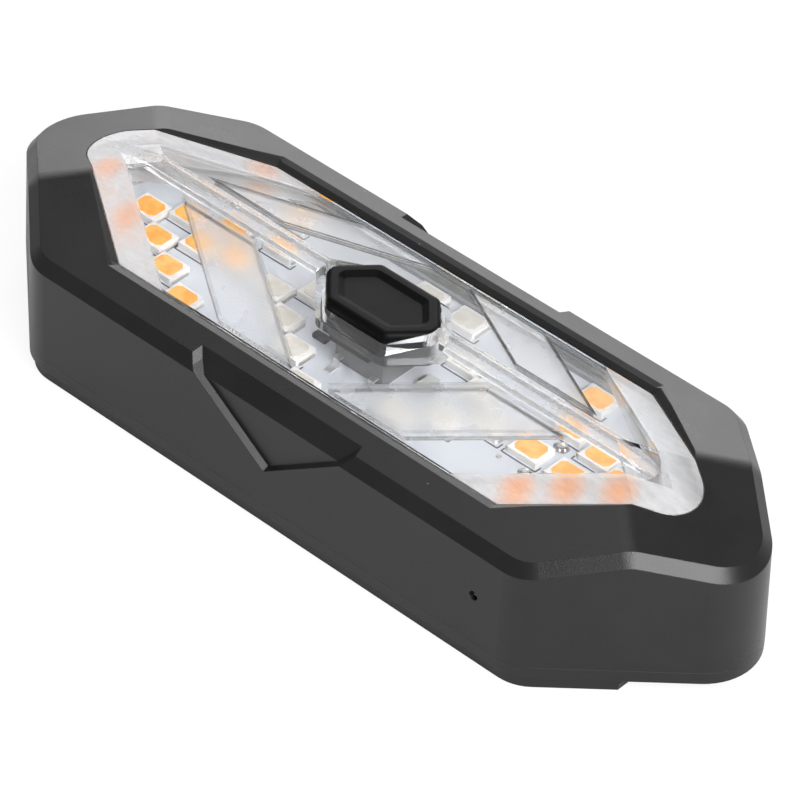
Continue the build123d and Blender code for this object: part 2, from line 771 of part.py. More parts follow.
save("casing", make_casing())
save("lens", make_lens())
save("lens_seal", make_lens_seal())
save("back_cover", make_back_cover())
save("cover_seal", ring(cover_seal_inset, cover_seal_width, band_top_z - cover_seal_depth, band_top_z))
save("cover_screws", make_cover_screws())
save("push_button", make_push_button())
save("circuit_board", make_circuit_board())
left_places = group_places(-left_lamp_x, left_lamp_shares)
right_places = group_places(right_lamp_x, right_lamp_shares)
save("amber_lamps_left", place_all(lamp_body(), left_places))
save("amber_windows_left", place_all(lamp_window(), left_places))
save("amber_lamps_right", place_all(lamp_body(), right_places))
save("amber_windows_right", place_all(lamp_window(), right_places))
save("pale_lamps", place_all(lamp_body(), pale_places()))
save("pale_windows", place_all(lamp_window(), pale_places()))
save("switch_body", make_switch_body())
save("switch_plate", make_switch_plate())
save("switch_plunger", rod(switch_plunger_radius, plunger_bottom_z, plunger_top_z))
save("switch_legs", make_switch_legs())
save("board_resistors", make_resistors())
save("board_capacitor", make_capacitor())
save("solder_joints", place_all(make_solder_joint(), group_places(right_lamp_x, solder_shares)))
controller = make_chip(controller_length, controller_width, controller_height)
controller_legs = make_chip_legs(controller_width, controller_height, controller_leg_count)
save("controller_chip", Pos(controller_x, controller_y, 0) * controller)
save("controller_legs", [Pos(controller_x, controller_y, 0) * leg for leg in controller_legs])
charging_legs = make_chip_legs(charger_width, charger_height, charger_leg_count)
charger = make_chip(charger_length, charger_width, charger_height)
save("charging_chip", Pos(charger_x, charger_y, 0) * charger)
save("charging_chip_legs", [Pos(charger_x, charger_y, 0) * leg for leg in charging_legs])
save("battery_pouch", make_battery())
save("battery_foam", make_battery_foam())
save("battery_guard_board", make_guard_board())
save("battery_lead_red", make_lead(1))
save("battery_lead_black", make_lead(-1))
save("charging_socket", make_socket())
save("socket_tongue", make_socket_tongue())
save("port_flap", make_port_flap())
save("port_anchor", make_port_anchor())
save("indicator_lamp", make_indicator_lamp())
save("indicator_pipe", make_indicator_pipe())
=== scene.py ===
import bmesh
import bpy
from math import cos, radians, sin, tan
from mathutils import Matrix, Vector


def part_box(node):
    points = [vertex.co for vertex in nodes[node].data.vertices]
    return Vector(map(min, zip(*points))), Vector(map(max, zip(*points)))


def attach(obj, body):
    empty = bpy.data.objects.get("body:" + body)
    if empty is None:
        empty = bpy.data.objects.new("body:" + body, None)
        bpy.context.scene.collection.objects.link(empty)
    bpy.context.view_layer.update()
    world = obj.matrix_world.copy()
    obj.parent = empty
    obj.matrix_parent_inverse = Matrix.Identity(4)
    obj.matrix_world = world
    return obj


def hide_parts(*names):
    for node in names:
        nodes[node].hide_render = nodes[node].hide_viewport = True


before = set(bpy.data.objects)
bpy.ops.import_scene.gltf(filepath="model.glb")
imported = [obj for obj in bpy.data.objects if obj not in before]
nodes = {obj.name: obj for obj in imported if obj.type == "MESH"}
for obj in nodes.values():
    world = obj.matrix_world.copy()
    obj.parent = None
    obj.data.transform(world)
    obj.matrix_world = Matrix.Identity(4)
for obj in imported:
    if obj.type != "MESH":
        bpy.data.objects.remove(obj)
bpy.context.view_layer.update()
mm = 0.001

# The camera, solved from the casing's edges in the photograph
camera = {
    "place": (216.37, -243.30, 284.07),
    "turn": (0.863371, -0.032649, 0.748781),
    "lens": 202.5,
    "sensor": 36,
    "nearest": 0.01,
    "farthest": 20,
}


def makeCamera(values):
    data = bpy.data.cameras.new("camera")
    data.lens = values["lens"]
    data.sensor_width = values["sensor"]
    data.clip_start = values["nearest"]
    data.clip_end = values["farthest"]
    shot = bpy.data.objects.new("camera", data)
    shot.location = [mm * part for part in values["place"]]
    shot.rotation_euler = values["turn"]
    bpy.context.scene.collection.objects.link(shot)
    bpy.context.scene.camera = shot


makeCamera(camera)
print("camera done")


# A signal is one output socket, and sums and products of signals become Math nodes
class Signal:
    def __init__(self, paint, socket):
        self.paint = paint
        self.socket = socket

    def math(self, operation, *others):
        return self.paint.node("Math", {"operation": operation}, [self, *others])

    def __add__(self, other):
        return self.math("ADD", other)

    def __sub__(self, other):
        return self.math("SUBTRACT", other)

    def __rsub__(self, other):
        return self.paint.node("Math", {"operation": "SUBTRACT"}, [other, self])

    def __mul__(self, other):
        return self.math("MULTIPLY", other)

    def __gt__(self, other):
        return self.math("GREATER_THAN", other)

    def __lt__(self, other):
        return self.math("LESS_THAN", other)

    def __abs__(self):
        return self.math("ABSOLUTE")

    def __pow__(self, other):
        return self.math("POWER", other)

    def low(self, other):
        return self.math("MINIMUM", other)

    def high(self, other):
        return self.math("MAXIMUM", other)

    # 0 at or below start, 1 at or above end, smooth between
    def ramp(self, start, end, low=0.0, high=1.0):
        settings = {"interpolation_type": "SMOOTHSTEP"}
        return self.paint.node("MapRange", settings, [self, start, end, low, high])

    __radd__ = __add__
    __rmul__ = __mul__


# One material under construction, with its principled shader and places in millimetres
class Paint:
    def __init__(self, name, constants):
        self.material = bpy.data.materials.new(name)
        self.material.use_nodes = True
        self.tree = self.material.node_tree
        self.tree.nodes.clear()
        self.shader = self.tree.nodes.new("ShaderNodeBsdfPrincipled")
        self.output = self.tree.nodes.new("ShaderNodeOutputMaterial")
        self.surface = Signal(self, self.shader.outputs[0])
        for key, value in constants.items():
            self.shader.inputs[key].default_value = value
        place = self.node("TexCoord", {}, {}, "Object")
        enlarged = {"Vector": place, "Scale": 1 / mm}
        self.place = self.node("VectorMath", {"operation": "SCALE"}, enlarged, "Vector")
        parts = self.node("SeparateXYZ", {}, [self.place]).socket.node
        self.x, self.y = [Signal(self, socket) for socket in parts.outputs[:2]]

    def node(self, kind, settings, inputs, output=0):
        made = self.tree.nodes.new("ShaderNode" + kind)
        for key, value in settings.items():
            setattr(made, key, value)
        pairs = inputs.items() if isinstance(inputs, dict) else enumerate(inputs)
        for key, value in pairs:
            self.feed(made.inputs[key], value)
        return Signal(self, made.outputs[output])

    def feed(self, socket, value):
        if isinstance(value, Signal):
            self.tree.links.new(value.socket, socket)
        else:
            socket.default_value = value

    def noise(self, scale, detail=2.0, roughness=0.5, place=None):
        inputs = {"Vector": place or self.place, "Scale": scale, "Detail": detail, "Roughness": roughness}
        return self.node("TexNoise", {}, inputs, "Fac")

    def cells(self, scale, place=None):
        return self.node("TexVoronoi", {}, {"Vector": place or self.place, "Scale": scale}, "Distance")

    def stretch(self, x, y, z):
        return self.node("VectorMath", {"operation": "MULTIPLY"}, [self.place, (x, y, z)], "Vector")

    def mix(self, share, first, second):
        inputs = {0: share, 6: first, 7: second}
        return self.node("Mix", {"data_type": "RGBA"}, inputs, 2)

    # a bump of so many millimetres, over edges that look rounded where edgeRound is given
    def bump(self, height, depth, edgeRound=None):
        inputs = {"Height": height, "Distance": depth * mm, "Strength": 1.0}
        if edgeRound:
            inputs["Normal"] = self.node("Bevel", {"samples": 4}, {"Radius": edgeRound * mm}, "Normal")
        return self.node("Bump", {}, inputs, "Normal")

    def done(self, surface=None, **driven):
        sockets = {"color": "Base Color", "glow": "Emission Color"}
        for key, value in driven.items():
            self.feed(self.shader.inputs[sockets.get(key, key.capitalize())], value)
        self.tree.links.new((surface or self.surface).socket, self.output.inputs["Surface"])
        return self.material


def grey(value, warm=0.0):
    return (value * (1 + warm), value, value * (1 - warm), 1.0)


# a darker or lighter shade of a colour, never brighter than white
def shade(color, share):
    return [min(part * share, 1.0) for part in color[:3]] + [1.0]


# Moulded plastic, rubber and metal, with the sizes of their detail in features for each millimetre
plastic = {
    "grain": 9.0,
    "grainDepth": 0.012,
    "cloud": 0.16,
    "toneSpread": 0.12,
    "glossByCloud": 0.12,
    "glossByGrain": 0.08,
    "speckScale": 0.42,
    "speckEdge": (0.02, 0.036),
    "speckPatch": 0.4,
    "speckTone": 0.5,
    "edgeRound": 0.12,
    "shine": 0.5,
}


def mouldedPlastic(name, tone, roughness, values, speck=0.0, warm=0.0):
    paint = Paint(name, {"Specular IOR Level": values["shine"]})
    cloud = paint.noise(values["cloud"], 3.0)
    grain = paint.noise(values["grain"], 2.0)
    dust = paint.cells(values["speckScale"]).ramp(*values["speckEdge"], 1.0, 0.0)
    dust = dust * paint.noise(values["speckPatch"], 1.0).ramp(0.5, 0.56) * speck
    dark = grey(tone * (1 - values["toneSpread"]), warm)
    light = grey(tone * (1 + values["toneSpread"]), warm)
    clean = paint.mix(cloud.ramp(0.3, 0.7), dark, light)
    gloss = roughness + (cloud - 0.5) * values["glossByCloud"] + (grain - 0.5) * values["glossByGrain"]
    return paint.done(
        color=paint.mix(dust, clean, grey(values["speckTone"])),
        roughness=gloss,
        normal=paint.bump(grain, values["grainDepth"], values["edgeRound"]),
    )


rubber = {
    "grain": 5.0,
    "grainDepth": 0.02,
    "cloud": 0.3,
    "darkest": 0.8,
    "lightest": 1.15,
    "roughness": 0.62,
    "roughSpread": 0.2,
    "shine": 0.35,
    "sheen": 0.15,
}


def softRubber(name, color, values):
    paint = Paint(name, {"Specular IOR Level": values["shine"], "Sheen Weight": values["sheen"]})
    cloud = paint.noise(values["cloud"], 3.0)
    grain = paint.noise(values["grain"], 3.0, 0.6)
    dark, light = shade(color, values["darkest"]), shade(color, values["lightest"])
    return paint.done(
        color=paint.mix(cloud.ramp(0.3, 0.7), dark, light),
        roughness=values["roughness"] + (grain - 0.5) * values["roughSpread"],
        normal=paint.bump(grain, values["grainDepth"]),
    )


metal = {
    "brush": 3.0,
    "brushLength": 0.12,
    "brushAcross": 4.0,
    "depth": 0.004,
    "tarnish": 0.35,
    "tarnishTone": 0.72,
    "tarnishWarm": 0.05,
    "roughSpread": 0.25,
}


def brushedMetal(name, tone, roughness, values, warm=0.0):
    paint = Paint(name, {"Metallic": 1.0})
    across = values["brushAcross"]
    brush = paint.noise(values["brush"], 4.0, 0.6, paint.stretch(values["brushLength"], across, across))
    tarnish = paint.noise(values["tarnish"], 4.0)
    dull = grey(tone * values["tarnishTone"], warm + values["tarnishWarm"])
    return paint.done(
        color=paint.mix(tarnish.ramp(0.35, 0.7), grey(tone, warm), dull),
        roughness=roughness + (brush - 0.5) * values["roughSpread"],
        normal=paint.bump(brush, values["depth"]),
    )


# The clear lens, in millimetres, with the outline, heights and ridge of the CAD lens
lens = {
    "halfWidth": 10.72,
    "cornerX": 24.2,
    "endAngle": 32.1,
    "slope": 20.8,
    "ridgeZ": 18.75,
    "ridgeReach": 28.7,
    "endSlope": 15.1,
    "footZ": 10.7,
    "rimZ": 12.9,
    "flangeTop": 13.6,
    "flangeGrow": 1.2,
    "tipRound": 3.6,
    "innerTipRound": 2.4,
    "tipSegments": 12,
    "cornerRound": 0.3,
    "footGrow": 0.3,
    "plate": 0.75,
    "sideWall": 0.55,
    "endWall": 3.1,
    "ribHalf": 0.75,
    "ribBottom": 16.7,
    "ribLean": -0.3,
    "ribReach": 45,
    "ribRoom": (0.2, 2.5),
    "padDepth": 0.5,
    "padInnerY": 1.95,
    "padOuterY": 9.75,
    "padNear": 12.4,
    "padFar": 7.4,
    "collarBottom": 15.2,
    "collarTop": 20,
    "collarSunk": 0.02,
    "collarWall": 0.8,
    "buttonGap": 0.1,
    "crease": 25,
}
lensFinish = {
    "frost": 0.3,
    "clearRoughness": 0.015,
    "ior": 1.42,
    "tint": (0.975, 0.98, 0.985, 1.0),
    "sand": 5.5,
    "sandDepth": 0.03,
    "rippleShare": 0.25,
    "streakShare": 0.4,
    "bandFrost": 0.8,
    "ridgeFrost": 0.9,
    "softEdge": 0.1,
    "bandMilk": 0.74,
    "farShare": 0.5,
    # painted shade along the pads' steps: its width, tone and near and far shares
    "stepWidth": 0.17,
    "stepShadeTone": 0.09,
    "nearStepShade": 0.2,
    "farStepShade": 0.8,
    "padMilk": 0.07,
    "ridgeMilk": 0.12,
    "milkTone": (0.78, 0.78, 0.79, 1.0),
    "milkSheen": 0.85,
    # painted lamp glow in the thick ends: its amber colour, places, size and shares
    "glow": (1.0, 0.5, 0.28, 1.0),
    "paintedGlowPlaces": [(-33.4, -3.3), (-27.6, -6.4), (24.6, -8.7), (28.4, -6.3), (32.6, -4.0), (-24.5, 8.8)],
    "paintedGlowSize": 2.4,
    "paintedGlowTint": 0.85,
    "paintedGlowShare": 0.5,
    "passTone": (0.9, 0.91, 0.92, 1.0),
    "passShare": 0.92,
}
weld = 0.002 * mm  # points nearer than this are one


# One closed prism under way, shaped by bmesh operators, with its sizes in millimetres
class Prism:
    def __init__(self, points, bottom, top):
        self.form = bmesh.new()
        corners = [self.form.verts.new((x * mm, y * mm, bottom * mm)) for x, y in points]
        base = self.form.faces.new(corners)
        raised = bmesh.ops.extrude_face_region(self.form, geom=[base])["geom"]
        upper = [part for part in raised if isinstance(part, bmesh.types.BMVert)]
        bmesh.ops.translate(self.form, verts=upper, vec=(0, 0, (top - bottom) * mm))
        bmesh.ops.recalc_face_normals(self.form, faces=self.form.faces)

    # rounds the upright edges that are this far from the middle, along X
    def roundUpright(self, x, offset, segments):
        edges = []
        for edge in self.form.edges:
            a, b = [vert.co for vert in edge.verts]
            if (a - b).xy.length < 0.01 * mm and abs(abs(a.x) - x * mm) < 0.5 * mm:
                edges.append(edge)
        bmesh.ops.bevel(
            self.form,
            geom=edges,
            offset=offset * mm,
            segments=segments,
            profile=0.5,
            affect="EDGES",
            material=-1,
        )

    # rounds the sharp tips to true arcs: a bevel, then its points drawn onto the circle
    def roundTips(self, tip, angle, radius, segments):
        self.roundUpright(tip, radius / tan(angle), segments)
        middle = tip - radius / sin(angle)
        tangent = middle + radius * sin(angle)
        for vert in self.form.verts:
            side = 1 if vert.co.x > 0 else -1
            if abs(vert.co.x) > tangent * mm - weld:
                way = Vector((vert.co.x - side * middle * mm, vert.co.y)).normalized() * radius * mm
                vert.co.x, vert.co.y = side * middle * mm + way.x, way.y

    # keeps what lies below a plane, or above it
    def trim(self, point, normal, above=False):
        cut = bmesh.ops.bisect_plane(
            self.form,
            geom=[*self.form.verts, *self.form.edges, *self.form.faces],
            plane_co=[mm * part for part in point],
            plane_no=normal,
            clear_outer=not above,
            clear_inner=above,
        )
        rim = [part for part in cut["geom_cut"] if isinstance(part, bmesh.types.BMEdge)]
        if rim:
            bmesh.ops.edgeloop_fill(self.form, edges=rim)
            bmesh.ops.recalc_face_normals(self.form, faces=self.form.faces)

    def underRoof(self, values, drop):
        rise = tan(radians(values["slope"]))
        endRise = tan(radians(values["endSlope"]))
        for side in (-1, 1):
            self.trim((0, 0, values["ridgeZ"] - drop), (0, side * rise, 1))
            self.trim((side * values["ridgeReach"], 0, values["ridgeZ"] - drop), (side * endRise, 0, 1))

    def object(self, name):
        mesh = bpy.data.meshes.new(name)
        bmesh.ops.remove_doubles(self.form, verts=self.form.verts, dist=weld)
        self.form.to_mesh(mesh)
        self.form.free()
        made = bpy.data.objects.new(name, mesh)
        bpy.context.scene.collection.objects.link(made)
        return made


# How far the slanted ends lie from the middle, square to their own faces
def endReach(values):
    angle = radians(values["endAngle"])
    return values["cornerX"] * sin(angle) + values["halfWidth"] * cos(angle)


# A six-sided outline, with its sides and its ends moved inwards
def hexagon(values, sideInset, endInset):
    angle = radians(values["endAngle"])
    half = values["halfWidth"] - sideInset
    corner = (endReach(values) - endInset - half * cos(angle)) / sin(angle)
    tip = (endReach(values) - endInset) / sin(angle)
    return [(corner, -half), (tip, 0), (corner, half), (-corner, half), (-tip, 0), (-corner, -half)]


def lensPrism(values, sideInset, endInset, bottom, top, drop=None):
    points = hexagon(values, sideInset, endInset)
    prism = Prism(points, bottom, top)
    tipRound = values["innerTipRound"] if endInset > 1 else values["tipRound"] - endInset
    prism.roundTips(points[1][0], radians(values["endAngle"]), tipRound, values["tipSegments"])
    prism.roundUpright(points[0][0], values["cornerRound"], 3)
    if drop is not None:
        prism.underRoof(values, drop)
    return prism


# One slanted pad, which hangs from the roof's inner face
def padPrism(values, sideX, sideY):
    angle = radians(values["endAngle"])
    near, far, inner, outer = [values[key] for key in ("padNear", "padFar", "padInnerY", "padOuterY")]
    points = []
    for inset, y in ((near, inner), (far, inner), (far, outer), (near, outer)):
        x = (endReach(values) - inset - y * cos(angle)) / sin(angle)
        points.append((sideX * x, sideY * y))
    prism = Prism(points, values["rimZ"], values["ridgeZ"])
    prism.underRoof(values, values["plate"] * 0.5)
    rise = tan(radians(values["slope"]))
    floor = values["ridgeZ"] - values["plate"] - values["padDepth"]
    prism.trim((0, 0, floor), (0, sideY * rise, 1), above=True)
    return prism


# The button's outline, which its collar and its bore in the lens follow
button = {
    "halfWidth": 3.9,
    "cornerX": 3.7,
    "endAngle": 46.9,
    "tipRound": 1.4,
    "cornerRound": 0.5,
}


def buttonPrism(values, grow, bottom, top):
    points = hexagon(values, -grow, -grow)
    prism = Prism(points, bottom, top)
    prism.roundUpright(points[1][0], values["tipRound"], 5)
    prism.roundUpright(points[0][0], values["cornerRound"], 4)
    return prism


# Adds, cuts or intersects the steps' tools with the base, in order, and leaves one clean object
def joined(name, base, steps):
    for operation, tool in steps:
        change = base.modifiers.new(operation.lower(), "BOOLEAN")
        change.operation = operation
        change.solver = "EXACT"
        change.object = tool
    bpy.context.view_layer.update()
    graph = bpy.context.evaluated_depsgraph_get()
    mesh = bpy.data.meshes.new_from_object(base.evaluated_get(graph))
    mesh.name = name
    form = bmesh.new()
    form.from_mesh(mesh)
    bmesh.ops.remove_doubles(form, verts=form.verts, dist=weld)
    bmesh.ops.dissolve_degenerate(form, edges=form.edges, dist=weld)
    form.to_mesh(mesh)
    form.free()
    for used in [base] + [tool for operation, tool in steps]:
        bpy.data.objects.remove(used)
    made = bpy.data.objects.new(name, mesh)
    bpy.context.scene.collection.objects.link(made)
    return made


# The rib under the ridge, with a V-shaped lower edge
def makeRib(values):
    reach, half = values["ribReach"], values["ribHalf"]
    corners = [(-reach, -half), (reach, -half), (reach, half), (-reach, half)]
    rib = Prism(corners, values["ribBottom"], values["ridgeZ"])
    rib.underRoof(values, values["plate"] * 0.5)
    for side in (-1, 1):
        rib.trim((0, 0, values["ribBottom"]), (0, side * values["ribLean"], 1), above=True)
    room = lensPrism(values, *values["ribRoom"], values["footZ"], values["ridgeZ"] + 1)
    return joined("lensRib", rib.object("rib"), [("INTERSECT", room.object("ribRoom"))])


def makeLens(values, buttonValues):
    above, below = values["ridgeZ"] + 1, values["footZ"] - 1
    flangeGrow, footGrow, collarTop = values["flangeGrow"], values["footGrow"], values["collarTop"]
    body = lensPrism(values, 0, 0, values["rimZ"], above, 0)
    flange = lensPrism(values, -flangeGrow, -flangeGrow, values["footZ"], values["flangeTop"])
    hollow = lensPrism(values, values["sideWall"], values["endWall"], below, above, values["plate"])
    footRoom = lensPrism(values, -footGrow, -footGrow, below, values["rimZ"])
    collarGrow = values["buttonGap"] + values["collarWall"]
    collar = buttonPrism(buttonValues, collarGrow, values["collarBottom"], collarTop)
    collar.underRoof(values, values["collarSunk"])
    bore = buttonPrism(buttonValues, values["buttonGap"], values["footZ"], collarTop)
    base = body.object("lensBody")
    steps = [("UNION", flange.object("flange")), ("DIFFERENCE", hollow.object("hollow"))]
    steps += [("DIFFERENCE", footRoom.object("footRoom")), ("UNION", makeRib(values))]
    for sideX in (-1, 1):
        for sideY in (-1, 1):
            steps.append(("UNION", padPrism(values, sideX, sideY).object("pad")))
    steps += [("UNION", collar.object("collar")), ("DIFFERENCE", bore.object("bore"))]
    piece = joined("lensShell", base, steps)
    mesh = piece.data
    mesh.polygons.foreach_set("use_smooth", [True] * len(mesh.polygons))
    mesh.set_sharp_from_angle(angle=radians(values["crease"]))
    mesh.materials.clear()
    return piece


# Milky plastic, which scatters light from both sides
def milkShader(paint, color, sheen):
    through = paint.node("BsdfTranslucent", {}, [color])
    matt = paint.node("BsdfDiffuse", {}, [color])
    return paint.node("MixShader", {}, [sheen, through, matt])


# The material's zones, from 0 to 1, follow the lens's sizes: its thick end bands, its ridge and its pads
def clearLens(name, values, finish):
    paint = Paint(name, {"Transmission Weight": 1.0, "IOR": finish["ior"], "Base Color": finish["tint"]})
    angle = radians(values["endAngle"])
    near, far, inner, outer = [values[key] for key in ("padNear", "padFar", "padInnerY", "padOuterY")]
    soft = finish["softEdge"]
    side = abs(paint.y)
    endInset = endReach(values) - (abs(paint.x) * sin(angle) + side * cos(angle))
    band = endInset.ramp(values["endWall"] - soft * 1.5, values["endWall"] + soft * 0.5, 1.0, 0.0)
    ridge = side.ramp(values["ribHalf"] - soft, values["ribHalf"] + soft, 1.0, 0.0)
    pad = (endInset > far) * (endInset < near) * (side > inner) * (side < outer)
    streak = paint.noise(0.8, 4.0, 0.6, paint.stretch(0.4, 1.3, 1.3))
    sand = paint.noise(finish["sand"], 2.0, 0.6)
    ripple = paint.noise(0.3, 2.0)
    patch = paint.noise(0.35, 2.0).ramp(0.35, 0.65, 0.85, 1.0)
    frosted = pad.high(band * finish["bandFrost"]).high(ridge * finish["ridgeFrost"]) * patch
    roughness = finish["clearRoughness"] + frosted * finish["frost"]
    height = sand * frosted + ripple * finish["rippleShare"] + streak * band * finish["streakShare"]
    paint.done(roughness=roughness, normal=paint.bump(height, finish["sandDepth"]))
    # the sand on the pads and the thick ends scatter light; painted lamp glow: near the given places in the
    # thick ends the milk takes an amber colour and an amber emission, which stand in for the light of the
    # lamps beside the ends
    glow = 0.0
    for x, y in finish["paintedGlowPlaces"]:
        distance = ((paint.x - x) ** 2.0 + (paint.y - y) ** 2.0) ** 0.5
        glow = distance.ramp(0.0, finish["paintedGlowSize"], 1.0, 0.0) + glow
    glow = glow.low(1.0) * band
    plain = milkShader(paint, finish["milkTone"], finish["milkSheen"])
    paintedGlowMilk = milkShader(paint, finish["glow"], finish["milkSheen"])
    milk = paint.node("MixShader", {}, [glow * finish["paintedGlowTint"], plain, paintedGlowMilk])
    # painted glow: an amber emission on the lens, which is no lamp
    lit = paint.node("Emission", {}, [finish["glow"], 1.0])
    milk = paint.node("MixShader", {}, [glow * finish["paintedGlowShare"], milk, lit])
    farSide = paint.y.ramp(-1.0, 2.0, 1.0, finish["farShare"])
    share = band * farSide * streak.ramp(0.3, 0.7, finish["bandMilk"] * 0.8, finish["bandMilk"] * 1.1)
    share = share.high(pad * finish["padMilk"]).high(ridge * finish["ridgeMilk"])
    paint.surface = paint.node("MixShader", {}, [share, paint.surface, milk])
    # painted shade: the steps round the pads show as grey lines of a dark matt sheet, darker on the far side
    width = finish["stepWidth"]
    along = (side > inner - width) * (side < outer)
    ends = along * (abs(endInset - far) < width).high(abs(endInset - near) < width)
    inside = (abs(side - inner) < width) * (endInset > far) * (endInset < near)
    shadow = ends.high(inside) * paint.y.ramp(-1.0, 1.0, finish["nearStepShade"], finish["farStepShade"])
    shadow = shadow * streak.ramp(0.3, 0.6, 0.6, 1.0)
    dark = paint.node("BsdfDiffuse", {}, [grey(finish["stepShadeTone"])])
    paint.surface = paint.node("MixShader", {}, [shadow, paint.surface, dark])
    # light that only passes through on its way to the board isn't bent
    clear = paint.node("BsdfTransparent", {}, [finish["passTone"]])
    passing = paint.node("LightPath", {}, {}, "Is Shadow Ray")
    return paint.done(paint.node("MixShader", {}, [passing * finish["passShare"], paint.surface, clear]))


lamp = {
    "amberCore": (1.0, 0.56, 0.13, 1.0),
    "amberEdge": (1.0, 0.42, 0.075, 1.0),
    "amberBase": (0.12, 0.05, 0.01, 1.0),
    "amberGlow": 0.95,
    "paleTone": (0.70, 0.67, 0.61, 1.0),
    "paleEdge": (0.62, 0.57, 0.5, 1.0),
    "coat": 0.4,
}


# The window of a lamp: lit amber, or the pale filling of one that is off
def lampWindow(name, values, lit):
    paint = Paint(name, {"Roughness": 0.25, "Coat Weight": values["coat"], "Coat Roughness": 0.1})
    cloud = paint.noise(0.9, 2.0)
    if lit:
        glow = paint.mix(cloud.ramp(0.35, 0.65), values["amberEdge"], values["amberCore"])
        paint.shader.inputs["Emission Strength"].default_value = values["amberGlow"]
        return paint.done(color=values["amberBase"], glow=glow, normal=paint.bump(cloud, 0.02))
    pale = paint.mix(cloud.ramp(0.3, 0.7), values["paleTone"], values["paleEdge"])
    return paint.done(color=pale, normal=paint.bump(cloud, 0.02))


# The circuit board, with its lines beside the parts, partly printed and partly painted lamp shadow, and its
# plated holes
board = {
    "mask": (0.62, 0.64, 0.68, 1.0),
    "guardMask": (0.03, 0.16, 0.07, 1.0),
    "darkest": 0.93,
    "trackDepth": 0.03,
    "topZ": 10.7,
    "inkAndShadow": 0.02,
    "line": 0.16,
    "wideLine": 0.24,
    "gap": 0.3,
    "bracketShift": 0.15,
    "bracketReach": 0.35,
    "rightTick": 0.8,
    "leftTick": 0.5,
    "viaRadius": 0.3,
    "viaHeight": 0.03,
    "viaTaper": 0.8,
    "vias": [
        (-17, 4.6), (-12.4, 5.2), (-8.6, 7.4), (-10.5, 7.6), (-20, -7.6), (-6.2, -6.8), (5.2, -6.2),
        (9.6, -5.0), (13.4, 6.6), (16.8, 7.4), (28.6, 4.8), (17.2, -2.4), (20.4, 5.6), (31.4, 2.6),
    ],
}
lampPlaces = {
    "length": 3.5,
    "width": 2.8,
    "endLength": 0.3,
    "endShort": 0.7,
    "endHeight": 0.24,
    "places": [
        (-31.3, 0.4), (-27.6, 2.4), (-27.6, -2.4), (-23.2, 4.0), (-23.6, -0.2), (-23.6, -4.9),
        (-19.2, -7.3), (-19.6, 0.6), (-17.6, 5.3), (-19.7, 9.2), (18.6, 9.2), (19.8, 5.0), (18.8, 0.0),
        (24.1, 3.8), (23.5, -0.2), (27.7, 2.2), (22.6, -4.6), (-14.1, 0.0), (-10.3, -2.56), (-6.6, -5.1),
        (-10.3, 2.56), (-6.6, 5.1), (14.1, 0.0), (10.3, 2.56), (6.6, 5.1), (10.3, -2.56), (6.6, -5.1),
        (-2.7, -8.5), (-2.6, 9.2), (2.6, 9.2),
    ],
}
capacitorMarks = {"depth": 2.1, "length": 1.9, "shift": 0.2, "endX": 0.75, "endWidth": 1.1, "lift": 0.03}


def finished(name, form, material):
    mesh = bpy.data.meshes.new(name)
    form.to_mesh(mesh)
    form.free()
    mesh.materials.append(material)
    piece = bpy.data.objects.new(name, mesh)
    bpy.context.scene.collection.objects.link(piece)
    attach(piece, "light")
    return piece


# Flat blocks on the board, each given by its middle, size and height in millimetres, as one piece
def makeFlats(name, blocks, bottom, material):
    form = bmesh.new()
    for x, y, length, width, height in blocks:
        place = Matrix.Translation((x * mm, y * mm, (bottom + height / 2) * mm))
        size = Matrix.Diagonal((length * mm, width * mm, height * mm, 1.0))
        bmesh.ops.create_cube(form, size=1.0, matrix=place @ size)
    return finished(name, form, material)


# A bracket beside each lamp, partly printed outline and partly painted shadow of the lamp along its −Y side,
# and the tinned ends of the lamps
def lampMarks(values, lamps):
    line, inkAndShadow, reach = values["line"], values["inkAndShadow"], lamps["length"] / 2 + values["bracketReach"]
    printAndShadowMarks, ends = [], []
    for x, y in lamps["places"]:
        middle, side = x + values["bracketShift"], y - lamps["width"] / 2 - values["gap"]
        printAndShadowMarks.append((middle, side, reach * 2, line, inkAndShadow))
        printAndShadowMarks.append((middle + reach, side + values["rightTick"] / 2, line, values["rightTick"], inkAndShadow))
        printAndShadowMarks.append((middle - reach, side + values["leftTick"] / 2, line, values["leftTick"], inkAndShadow))
        for end in (-1, 1):
            endX = x + end * (lamps["length"] / 2 + 0.05)
            ends.append((endX, y, lamps["endLength"], lamps["width"] - lamps["endShort"], lamps["endHeight"]))
    return printAndShadowMarks, ends


# the marks beside the lamps, partly painted shadow, and the marks beside the capacitor, with the tinned ends,
# as flat pieces
def makePrint(values, lamps, marks, inkAndShadow, tin):
    printAndShadowMarks, ends = lampMarks(values, lamps)
    low, high = [[part / mm for part in corner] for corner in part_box("board_capacitor")]
    x, y = (low[0] + high[0]) / 2, (low[1] + high[1]) / 2
    right, front = high[0] + values["gap"], low[1] - values["gap"]
    printAndShadowMarks.append((right, y, values["wideLine"], marks["depth"], values["inkAndShadow"]))
    printAndShadowMarks.append((x + marks["shift"], front, marks["length"], values["wideLine"], values["inkAndShadow"]))
    for end in (-1, 1):
        height = high[2] - low[2] + marks["lift"]
        ends.append((x + end * marks["endX"], y, lamps["endLength"], marks["endWidth"], height))
    makeFlats("boardPrintAndShadow", printAndShadowMarks, values["topZ"], inkAndShadow)
    makeFlats("lampEnds", ends, values["topZ"], tin)


def makeVias(values, tin):
    form = bmesh.new()
    height, radius = values["viaHeight"] * mm, values["viaRadius"] * mm
    for x, y in values["vias"]:
        place = Matrix.Translation((x * mm, y * mm, values["topZ"] * mm + height / 2))
        bmesh.ops.create_cone(
            form,
            cap_ends=True,
            segments=20,
            radius1=radius,
            radius2=radius * values["viaTaper"],
            depth=height,
            matrix=place,
        )
    finished("boardVias", form, tin)


# Solder heaps, a little lumpy, over the two joints of the CAD
solder = {
    "places": [(20.67, 2.52), (20.67, -2.52)],
    "size": (0.85, 0.7, 0.5),
    "sunk": 0.02,
    "lump": 0.12,
    "crease": 40,
}


